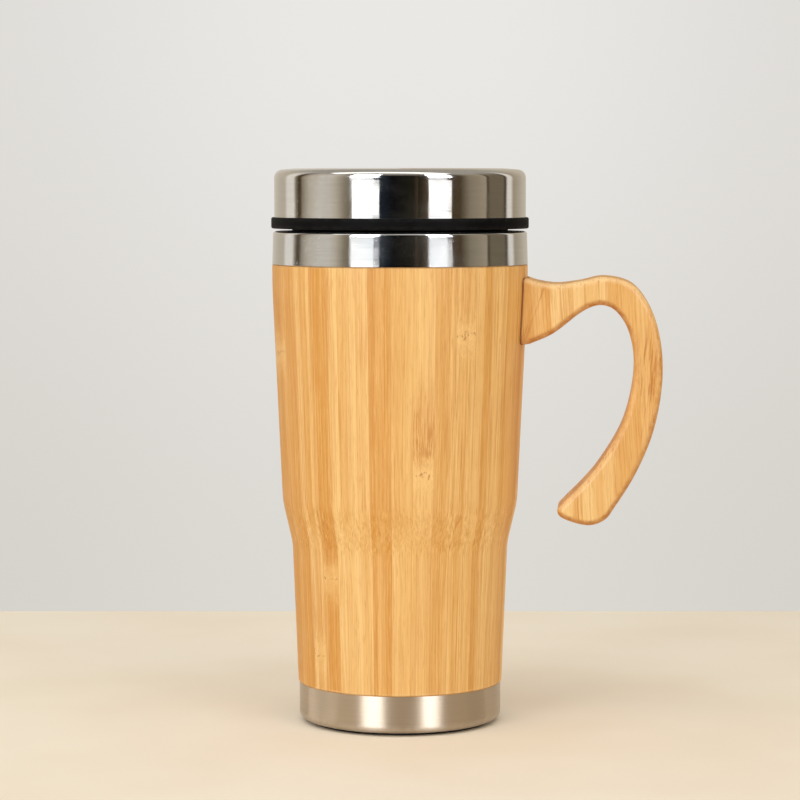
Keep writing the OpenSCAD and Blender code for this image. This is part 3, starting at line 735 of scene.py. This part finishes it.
# The sleeve's wall and the gap behind it. The shell comes out over the sleeve's top as the rim's band
WALL, BEHIND, LIP, LEAN = 3.0, 0.1, 1.3, 0.3
shell = turned("rim_band_shell", cup_side(WALL + BEHIND, SHELL_FOOT, SLEEVE_TOP) + rounded([
    (SLEEVE_R, SLEEVE_TOP), (SLEEVE_R - LEAN, RIM, 0.9), (SLEEVE_R - LIP, RIM)]) + (
    cup_side(WALL + BEHIND + STEEL, SHELL_FOOT, SLEEVE_TOP + STEEL) + rounded([
        (SLEEVE_R - STEEL, SLEEVE_TOP + STEEL), (SLEEVE_R - LEAN - STEEL, RIM - STEEL),
        (SLEEVE_R - LIP, RIM - STEEL)]))[::-1], BAND)
dress(shell, "cup", "outer_shell")

SCREW_HEIGHTS, HEAD_DEPTH = (136.13, 143.492), 2.7
SCREW_HOLE = ((0, -1), (3.25, -1), (3.25, 0), (1.65, 1.6), (1.65, 14.05), (0, 14.05))


def screw_cutters(name, sides=48):
    """The countersunk holes of the handle screws, from inside the sleeve"""
    cutters = []
    for z in SCREW_HEIGHTS:
        cutter = turned(name, [(r, h, 0.0) for r, h in SCREW_HOLE], None, sides)
        cutter.data.transform(Matrix.Rotation(math.pi / 2, 4, "Y"))
        cutter.data.transform(Matrix.Translation(Vector((sleeve_radius(z) - HEAD_DEPTH, 0, z)) * MM))
        cutters.append(cutter)
    return cutters


# The rounding of the sleeve's edges, and the tongue that reaches down inside the base cap
EASED, TONGUE, TONGUE_R = 0.4, 6, 32.8
sleeve = turned("stave_sleeve", [
    (TONGUE_R, BASE_TOP - TONGUE, 0.0), (TONGUE_R, BASE_TOP, 0.0), (FOOT_R - EASED, BASE_TOP, 1.0),
    (FOOT_R, BASE_TOP + EASED, 1.0)] + cup_side(0, BASE_TOP, SLEEVE_TOP)[2:-1] + [
    (SLEEVE_R, SLEEVE_TOP - 0.7, 0.0), (SLEEVE_R, SLEEVE_TOP - EASED, 1.0),
    (SLEEVE_R - EASED, SLEEVE_TOP, 1.0), (SLEEVE_R - 0.7, SLEEVE_TOP, 0.0)]
    + cup_side(WALL, BASE_TOP - TONGUE, SLEEVE_TOP)[::-1], STAVE_BAMBOO, STAVES * 7)
cut(sleeve, *screw_cutters("sleeve screw hole"))
dress(finish_mesh(sleeve), "cup", "bamboo_sleeve")

CAP_WALL = 0.7
base = turned("base_cap_steel", rounded([
    (0, CAP_FLOOR), (PAD_R + 0.1, CAP_FLOOR), (PAD_R + 0.1, FOOT_DROP), (BASE_R, FOOT_DROP, 2.3),
    (BASE_R, BASE_TOP)], 10) + rounded([
    (0, SHELL_FOOT), (BASE_R - CAP_WALL, SHELL_FOOT, 1.6), (BASE_R - CAP_WALL, BASE_TOP)])[::-1], SATIN)
dress(base, "cup", "base_cap")

# The pad's face has three ring grooves, at shares of its radius
RINGS, RING_WIDE, RING_DEEP = (0.5, 0.7, 0.88), 1.6, 0.5
tread = [(0.0, 0.0)]
for outer in (PAD_R * share for share in RINGS):
    tread += [(outer - RING_WIDE, 0.0), (outer - RING_WIDE, RING_DEEP), (outer, RING_DEEP), (outer, 0.0)]
tread += [(PAD_R, 0.0, 0.3), (PAD_R, CAP_FLOOR), (0.0, CAP_FLOOR)]
pad = turned("grip_pad", rounded(tread, 4), PAD_BLACK, FEWER)
dress(pad, "cup", "foot_pad")


# The handle: its reach from the sleeve, height, the tip's height, thickness, edge rounding and glue
# line. Its outline is given in shares of the reach and of the height above the tip
REACH, HANDLE_H, TIP, THICK, EDGE, GLUE = 44.5, 81.8, 66.6, 22.0, 2.2, 0.1
HOOK_SHARES = [
    (0.00, 0.994), (0.07, 0.981), (0.22, 0.970), (0.40, 0.982), (0.56, 0.999), (0.77, 0.970),
    (0.925, 0.855), (1.00, 0.650), (0.945, 0.402), (0.812, 0.216), (0.65, 0.071), (0.587, 0.025),
    (0.475, 0.000), (0.31, 0.018), (0.24, 0.040), (0.231, 0.062), (0.262, 0.084),
    (0.40, 0.160), (0.527, 0.242), (0.713, 0.420), (0.79, 0.637), (0.752, 0.775), (0.69, 0.840),
    (0.62, 0.875), (0.54, 0.8855), (0.46, 0.8745), (0.38, 0.849), (0.19, 0.770), (0.00, 0.724)]


def curve_point(a, b, c, d, share):
    """Point between b and c on a smooth curve that also heeds a and d, by chord length"""
    t1 = math.sqrt((b - a).length)
    t2 = t1 + math.sqrt((c - b).length)
    t3 = t2 + math.sqrt((d - c).length)
    t = t1 + (t2 - t1) * share
    p = a * (t1 - t) / t1 + b * t / t1
    q = b * (t2 - t) / (t2 - t1) + c * (t - t1) / (t2 - t1)
    r = c * (t3 - t) / (t3 - t2) + d * (t - t2) / (t3 - t2)
    m = p * (t2 - t) / t2 + q * t / t2
    n = q * (t3 - t) / (t3 - t1) + r * (t - t1) / (t3 - t1)
    return m * (t2 - t) / (t2 - t1) + n * (t - t1) / (t2 - t1)


def hook_outline(steps=8):
    """Points along the hook's outline, from the top of its root round the tip to the root's foot"""
    knots = [Vector((SLEEVE_R + REACH * a, TIP + HANDLE_H * b)) for a, b in HOOK_SHARES]
    ends = [2 * knots[0] - knots[1]] + knots + [2 * knots[-1] - knots[-2]]
    points = [curve_point(*ends[i:i + 4], k / steps) for i in range(len(knots) - 1) for k in range(steps)]
    return points + [knots[-1]]


def hook_handle(turns=8, across=8, root_steps=6):
    """The hook: its outline swept across the thickness, rounded over, and coped to the sleeve"""
    points = hook_outline()
    inward = []
    for i in range(len(points)):
        along = (points[min(i + 1, len(points) - 1)] - points[max(i - 1, 0)]).normalized()
        inward.append(Vector((along.y, -along.x)))

    def drawn_in(inset, longest_loop=40):
        """The outline drawn in, with each loop that it makes at a tight corner taken out"""
        drawn = [p + n * inset for p, n in zip(points, inward)]
        for i in range(len(drawn) - 3):
            for j in range(min(i + longest_loop, len(drawn) - 2), i + 1, -1):
                meet = intersect_line_line_2d(drawn[i], drawn[i + 1], drawn[j], drawn[j + 1])
                if meet:
                    drawn[i + 1:j + 1] = [meet.copy() for _ in range(j - i)]
                    break
        return drawn

    def ring(y, inset):
        """One slice of the hook. Its root follows the sleeve, and keeps its height past the rounding"""
        drawn, coped = drawn_in(inset), drawn_in(min(inset, EDGE))
        top, low = coped[0].y, coped[-1].y

        def root(z):
            return (math.sqrt((sleeve_radius(z) + GLUE) ** 2 - y * y), y, z)
        return ([root(top)] + [(p.x, y, p.y) for p in drawn[1:-1]]
                + [root(low + (top - low) * k / root_steps) for k in range(root_steps)])

    flat = THICK / 2 - EDGE
    over = [math.radians(90 * k / turns) for k in range(turns + 1)]
    near = [(-THICK / 2, EDGE + 0.35, 0.0)]
    near += [(EDGE * (1 - math.cos(a)) - THICK / 2, EDGE * (1 - math.sin(a)), math.sin(2 * a)) for a in over]
    middle = [(flat * (2 * k / across - 1), 0.0, 0.0) for k in range(1, across)]
    slices = near + middle + [(-y, inset, mark) for y, inset, mark in near[::-1]]
    rings = [ring(y, inset) for y, inset, _ in slices]
    piece = stack("hook_handle", rings, HOOK_BAMBOO)
    mark_edges(piece, [mark for _, _, mark in slices for _ in rings[0]])
    return piece


handle = hook_handle()
cut(handle, *screw_cutters("handle screw hole"))
dress(finish_mesh(handle, 40), "cup", "handle")


# The lid

# The cap's fall from its inner edge to its shoulder, and its walls round the mouth and under the top
FALL, CAP_LIP, CAP_TOP_WALL = 0.5, 0.8, 1.3
cap = turned("lid_cap_steel", rounded([
    (CAP_R, RING_TOP), (CAP_R, LID_TOP - FALL, 2.8), (MOUTH_R + CAP_LIP, LID_TOP),
    (MOUTH_R, LID_TOP, 0.7), (MOUTH_R, DECK + 0.1)], 12) + rounded([
    (CAP_IN_R, RING_TOP), (CAP_IN_R, LID_TOP - CAP_TOP_WALL, 2.0),
    (MOUTH_R + CAP_LIP, LID_TOP - CAP_TOP_WALL), (MOUTH_R + CAP_LIP, DECK + 0.1)])[::-1], POLISHED, 288)
dress(cap, "lid", "lid_cap")

# The plug is hollow. Its tubes stand on the underside's plate and reach into the deck's wall
TUBE_FOOT, GROOVE, HOLLOW_R, DECK_WALL, INTO_DECK = PLUG_FOOT + PLATE, 8, 37.8, 2, DECK - 1.5
plug = turned("lid_plug", rounded([
    (PLATE_R, PLUG_FOOT), (NECK_R, PLUG_FOOT, 0.6), (NECK_R, GROOVE_FOOT, 0.2),
    (GROOVE_R, GROOVE_FOOT), (GROOVE_R, GROOVE_FOOT + GROOVE), (NECK_R, GROOVE_FOOT + GROOVE, 0.2),
    (NECK_R, LID_FOOT), (RING_R, LID_FOOT, 0.6), (RING_R, RING_TOP, 0.6), (CAP_IN_R - 0.1, RING_TOP),
    (CAP_IN_R - 0.1, WALL_TOP, 2.0), (MOUTH_R + 0.9, WALL_TOP), (MOUTH_R + 0.9, DECK), (0, DECK),
    (0, DECK - DECK_WALL), (HOLLOW_R, DECK - DECK_WALL), (HOLLOW_R, RING_TOP), (NECK_IN_R, RING_TOP),
    (NECK_IN_R, TUBE_FOOT), (PLATE_R, TUBE_FOOT), (PLATE_R, PLUG_FOOT)], 6), LID_BLACK, FEWER)
add(plug, along_track("track pan", SLIDER, PLAY + DECK_WALL, 4, PAN_FOOT, INTO_DECK),
    oval("sip tube", SIP_Y, SEAL, TUBE_FOOT, PAN_FOOT + 0.5),
    drill("vent tube", VENT, VENT_R + 1.6, TUBE_FOOT, INTO_DECK))
cut(plug, along_track("slider track", SLIDER, PLAY, 2, TRACK_FLOOR, DECK + 1),
    oval("sip hole", SIP_Y, SIP, TUBE_FOOT - 1, TRACK_FLOOR + 1),
    drill("vent hole", VENT, VENT_R, TUBE_FOOT - 1, DECK + 1),
    along_track("stem slot", STEM, PLAY, 0.3, PAN_FOOT - 1, TRACK_FLOOR + 1))
dress(finish_mesh(plug), "lid", "lid_body")

underside = turned("plug_underside", rounded([
    (0, PLUG_FOOT), (PLATE_R - 0.1, PLUG_FOOT, 0.3), (PLATE_R - 0.1, TUBE_FOOT), (0, TUBE_FOOT)], 4),
    LID_BLACK, FEWER)
cut(underside, oval("sip hole below", SIP_Y, SIP, PLUG_FOOT - 1, PLUG_FOOT + 3),
    drill("vent hole below", VENT, VENT_R, PLUG_FOOT - 1, PLUG_FOOT + 3))
dress(finish_mesh(underside), "lid", "lid_underside")

# The seal ring: inner radius, radius between its lips and at them, lower face, height and lips
SEAL_IN_R, SEAL_R, LIP_R, SEAL_FOOT, SEAL_TALL, LIPS = 34.3, 35.4, 36.5, 150.7, 7.8, 3
lips, pitch = [(SEAL_IN_R, SEAL_FOOT), (SEAL_R, SEAL_FOOT)], SEAL_TALL / LIPS
for k in range(LIPS):
    lips += [(r, SEAL_FOOT + (k + share) * pitch, corner) for r, share, corner in (
        (SEAL_R, 0.1, 0.1), (LIP_R, 0.45, 0.2), (LIP_R, 0.65, 0.2), (SEAL_R, 0.9, 0.1))]
lips += [(SEAL_R, SEAL_FOOT + SEAL_TALL), (SEAL_IN_R, SEAL_FOOT + SEAL_TALL)]
gasket = turned("lid_seal_ring", rounded(lips, 4), SEAL_GREY, FEWER)
dress(gasket, "gasket", "lid_gasket")


def ridge_tree():
    """Repeats one ridge along Y"""
    tree, ids, given, made = new_tree("row of ridges", [
        ("Ridge", "Geometry"), ("Count", "Int"), ("Pitch", "Float"), ("Finish", "Material")])
    ridge, ridges, pitch, finish = list(given)[:4]
    start = times(times(minus(ridges, 1.0), -0.5), pitch)
    line = put(tree, "GeometryNodeMeshLine", {
        "Count": ridges, "Start Location": join(y=start), "Offset": join(y=pitch)},
        mode="OFFSET")
    row = put(tree, "GeometryNodeInstanceOnPoints", {"Points": line[0], "Instance": ridge})
    end_tree(tree, made, row, finish)
    return tree, ids


def slider():
    """The sip slider: plate, stem, thumb tab and the row of ridges on it"""
    knob = soft_block("sip_slider", *SLIDER, 2, SLIDER_FOOT, SLIDER_FOOT + 2.4, 0.35, SLIDER_BLACK)
    ridges = soft_block("ridges", 5, -0.45, 0.45, 0.44, TAB_TOP - 1.5, TAB_TOP, 0.3)
    through(ridges, "row", *ridge_tree(), {"Count": 4, "Pitch": 1.95 * MM, "Finish": SLIDER_BLACK})
    ridges.data.transform(Matrix.Translation((0, STEM_Y * MM, 0)))
    add(knob, soft_block("stem", *STEM, 0.3, CLIP_TOP, SLIDER_FOOT + 1),
        soft_block("tab", *TAB, 2, SLIDER_FOOT + 1, TAB_TOP - 0.5, 0.4), ridges)
    cut(knob, oval("seal seat", SIP_Y, SEAL, SLIDER_FOOT - 1, SLIDER_FOOT + 0.9),
        drill("screw hole", (0, STEM_Y), 1.15, CLIP_TOP - 1, CLIP_TOP + 4.85))
    return finish_mesh(knob)


dress(slider(), "slider", "slider_knob")

# Pieces that hardly show keep the part's own solids, with a finish
for node, finish in (("shell_bottom", VESSEL), ("handle_screws", HARDWARE), ("slider_screw", HARDWARE),
                     ("slider_seal", SEAL_GREY), ("slider_clip", SLIDER_BLACK)):
    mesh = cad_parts[node].data
    mesh.materials.clear()
    mesh.materials.append(finish)


# Camera, where the ellipses of the seams put it: azimuth, downward look, distance and height in metres
AZIMUTH, DOWN, AWAY, EYE = math.radians(4.2), 0.0763, 0.936, 0.17843
TOWARDS = Vector((math.sin(AZIMUTH), -math.cos(AZIMUTH), 0))
ACROSS = Vector((math.cos(AZIMUTH), math.sin(AZIMUTH), 0))
UP = Vector((0, 0, 1))


def aim(thing, way):
    thing.rotation_euler = way.to_track_quat("-Z", "Y").to_euler()


lens = bpy.data.cameras.new("camera")
lens.lens, lens.sensor_width, lens.clip_start = 127.0, 36.0, 0.05
camera = new_object("camera", lens)
camera.location = TOWARDS * AWAY + UP * EYE
aim(camera, -TOWARDS * math.cos(DOWN) - UP * math.sin(DOWN))
bpy.context.scene.camera = camera


# Stage

def floor_finish():
    """Plain, pale and barely uneven"""
    material, _, shader, place = new_material("pale floor", IOR=1.45, Specular_IOR_Level=0.2)
    soft = noise(place, 0.012, 2.0)[0]
    share = step(soft, 0.3, 0.7)
    feed(shader["Base Color"], mix(share, shade(245, 233, 213), shade(241, 227, 205)))
    feed(shader["Roughness"], step(soft, 0.3, 0.7, 0.8, 0.9))
    return material


def floor(half=1700, back=-237.5, front=1600, faces=(-30.0, -0.1)):
    """A slab whose back edge shows behind the cup"""
    corners = ((-half, back), (-half, front), (half, front), (half, back))
    rings = [[ACROSS * a + TOWARDS * b + UP * z for a, b in corners] for z in faces]
    stack("floor", rings, floor_finish())


floor()


# In metres: a lamp above HIGH looks down at the cup's middle
HIGH, CUP_MIDDLE = 1.2, 0.10


def softbox(name, azimuths, heights, radiance, distance=1.35, sheen=True, light=True, tint=(1, 1, 1)):
    """A lamp panel between two azimuths from the camera and two heights, which faces the cup. It
    shows in gloss, or lights, or both"""
    a = math.radians(sum(azimuths) / 2)
    width = 2 * distance * math.tan(math.radians(azimuths[1] - azimuths[0]) / 2)
    tall, rise = heights[1] - heights[0], sum(heights) / 2
    lamp = bpy.data.lights.new(name, "AREA")
    lamp.shape, lamp.size, lamp.size_y = "RECTANGLE", width, tall
    lamp.energy, lamp.color = radiance * width * tall * math.pi, tint
    panel = new_object(name, lamp)
    panel.location = (TOWARDS * math.cos(a) + ACROSS * math.sin(a)) * distance + UP * rise
    aim(panel, UP * (CUP_MIDDLE if rise > HIGH else rise) - panel.location)
    panel.visible_camera, panel.visible_glossy, panel.visible_diffuse = False, sheen, light


softbox("left panel light", (-46.4, -20.9), (0, 1.24), 2.2, 1.4, sheen=False)
softbox("right panel light", (25.6, 46.4), (0, 1.24), 0.85, 1.4, sheen=False, tint=(1.0, 0.93, 0.8))
LOW, CAP_PART, BAND_PART, HEAD = (0, 0.15), (0.15, 0.186), (0.186, 0.3), (0.3, 1.3)
COOL, CLEAR = (0.96, 1.0, 1.03), (0.93, 1.0, 1.12)
for name, azimuths, heights, radiance, tint in (
        ("left low panel", (-125, -75), (0, 0.11), 3.2, COOL),
        ("left panel foot", (-45.5, -24.2), LOW, 0.98, CLEAR),
        ("right panel foot", (25.4, 43.8), LOW, 0.94, CLEAR),
        ("left cap panel", (-43.4, -18.4), CAP_PART, 1.9, (1, 1, 1)),
        ("right cap panel", (25.2, 46.8), CAP_PART, 1.8, (1, 1, 1)),
        ("left band panel", (-45, -23.4), BAND_PART, 1.0, COOL),
        ("right band panel", (25.2, 42.4), BAND_PART, 0.88, COOL),
        ("left panel head", (-44.4, -19.8), HEAD, 14.0, CLEAR),
        ("right panel head", (25.6, 46.4), HEAD, 14.0, CLEAR)):
    softbox(name, azimuths, heights, radiance, light=False, tint=tint)
softbox("top panel", (-79, 51), (1.15, 1.55), 1.6, 0.5)


# What the steel mirrors round the cup, by azimuth from the camera: dark behind the camera, pale cards
# with dark strips between them at the sides, and a pale backdrop
CARD, PALE, BEIGE, SAND = (244, 237, 227), (219, 212, 200), (203, 192, 174), (175, 161, 139)
TAUPE, CLAY, UMBER, BARK = (146, 134, 114), (122, 110, 90), (80, 65, 46), (56, 42, 28)
SLATE, EARTH, INK = (34, 42, 52), (34, 31, 20), (7, 8, 10)
SCREENS = [
    (-180, PALE), (-140, BEIGE), (-130, BEIGE), (-124.5, CARD), (-113.5, CARD), (-109.5, TAUPE),
    (-105.5, UMBER), (-102.5, UMBER), (-100, TAUPE), (-90, BEIGE), (-76, PALE), (-67, PALE), (-60, BEIGE),
    (-51, TAUPE), (-45, CLAY), (-20, SLATE), (-7, INK), (13.4, EARTH), (15, UMBER), (16.6, EARTH),
    (24, UMBER), (56, UMBER), (66, TAUPE), (85, SAND), (86, BARK), (89.3, CLAY), (108, CLAY),
    (112, BARK), (115.5, CARD), (121.5, CARD), (126, SAND), (150, BEIGE)]


def studio():
    """The world: a pale backdrop for the camera, with painted shade low down and at the sides, the
    screens for steel, and even light for the rest
    """
    world = bpy.data.worlds.new("studio")
    world.use_nodes = True
    tree = world.node_tree
    tree.nodes.clear()
    look = put(tree, "ShaderNodeTexCoord")["Generated"]
    ahead, aside = (put(tree, "ShaderNodeVectorMath", {0: look, 1: way}, operation="DOT_PRODUCT")["Value"]
                    for way in (TOWARDS, ACROSS))
    rise = split(look)[2]
    ramp = tree.nodes.new("ShaderNodeValToRGB")
    feed(ramp.inputs[0], scaled(calc("ARCTAN2", aside, ahead), 1 / math.tau, 0.5))
    stops = ramp.color_ramp.elements
    while len(stops) > 1:
        stops.remove(stops[0])
    for i, (azimuth, tone) in enumerate(SCREENS):
        spot = azimuth / 360 + 0.5
        stop = stops[0] if i == 0 else stops.new(spot)
        stop.position, stop.color = spot, shade(*tone)
    mirrored = mix(step(rise, 0.35, 0.8), ramp.outputs[0], shade(176, 170, 160))
    # The camera's backdrop gets painted shade: darker below the horizon and towards the sides
    wall = mix(step(rise, -0.15, 0.06), shade(221, 218, 212), shade(234, 232, 229))
    side_shade = step(absolute(aside), 0.02, 0.16, 0.0, 0.3)
    wall = mix(side_shade, wall, shade(196, 192, 184))
    path = put(tree, "ShaderNodeLightPath")
    straight = calc("MAXIMUM", path["Is Camera Ray"], path["Is Transmission Ray"])
    soft = mix(step(aside, -0.8, 0.8), (0.99, 0.995, 1.0, 1.0), (1.0, 0.965, 0.88, 1.0))
    even, mirror, pale = (put(tree, "ShaderNodeBackground", {"Color": colour, "Strength": strength})[0]
                          for colour, strength in ((soft, 0.73), (mirrored, 1.0), (wall, 1.0)))
    first = put(tree, "ShaderNodeMixShader", {0: path["Is Glossy Ray"], 1: even, 2: mirror})[0]
    last = put(tree, "ShaderNodeMixShader", {0: straight, 1: first, 2: pale})[0]
    put(tree, "ShaderNodeOutputWorld", {"Surface": last})
    bpy.context.scene.world = world


studio()
bpy.context.scene.view_settings.view_transform = "Standard"
